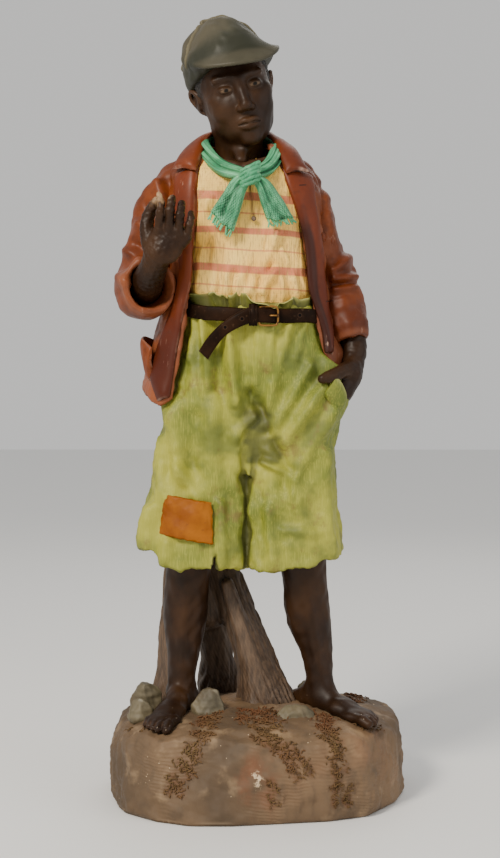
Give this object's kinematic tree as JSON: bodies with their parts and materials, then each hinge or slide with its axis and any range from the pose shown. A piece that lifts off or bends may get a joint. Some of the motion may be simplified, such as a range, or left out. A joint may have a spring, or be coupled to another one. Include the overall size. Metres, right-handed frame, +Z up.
{
  "type": "painted boy figurine",
  "caption": "Standing painted terracotta figurine of a barefoot boy in cap, open jacket, striped shirt and belted knee trousers, on a rocky mound with a tree stump behind his legs",
  "frame": {"origin": "middle of the bounding box's underside, on the ground the mound stands on", "axes": "+Z up, -Y to the viewer the boy faces, +X to that viewer's right"},
  "size_m": [0.3431, 0.2833, 0.8645],
  "materials": {
    "painted_clay": "hand painted clay, satin on skin and jacket, matte on the mound"
  },
  "bodies": {
    "root": {"boy_figurine": "painted_clay"}
  },
  "joints": []
}
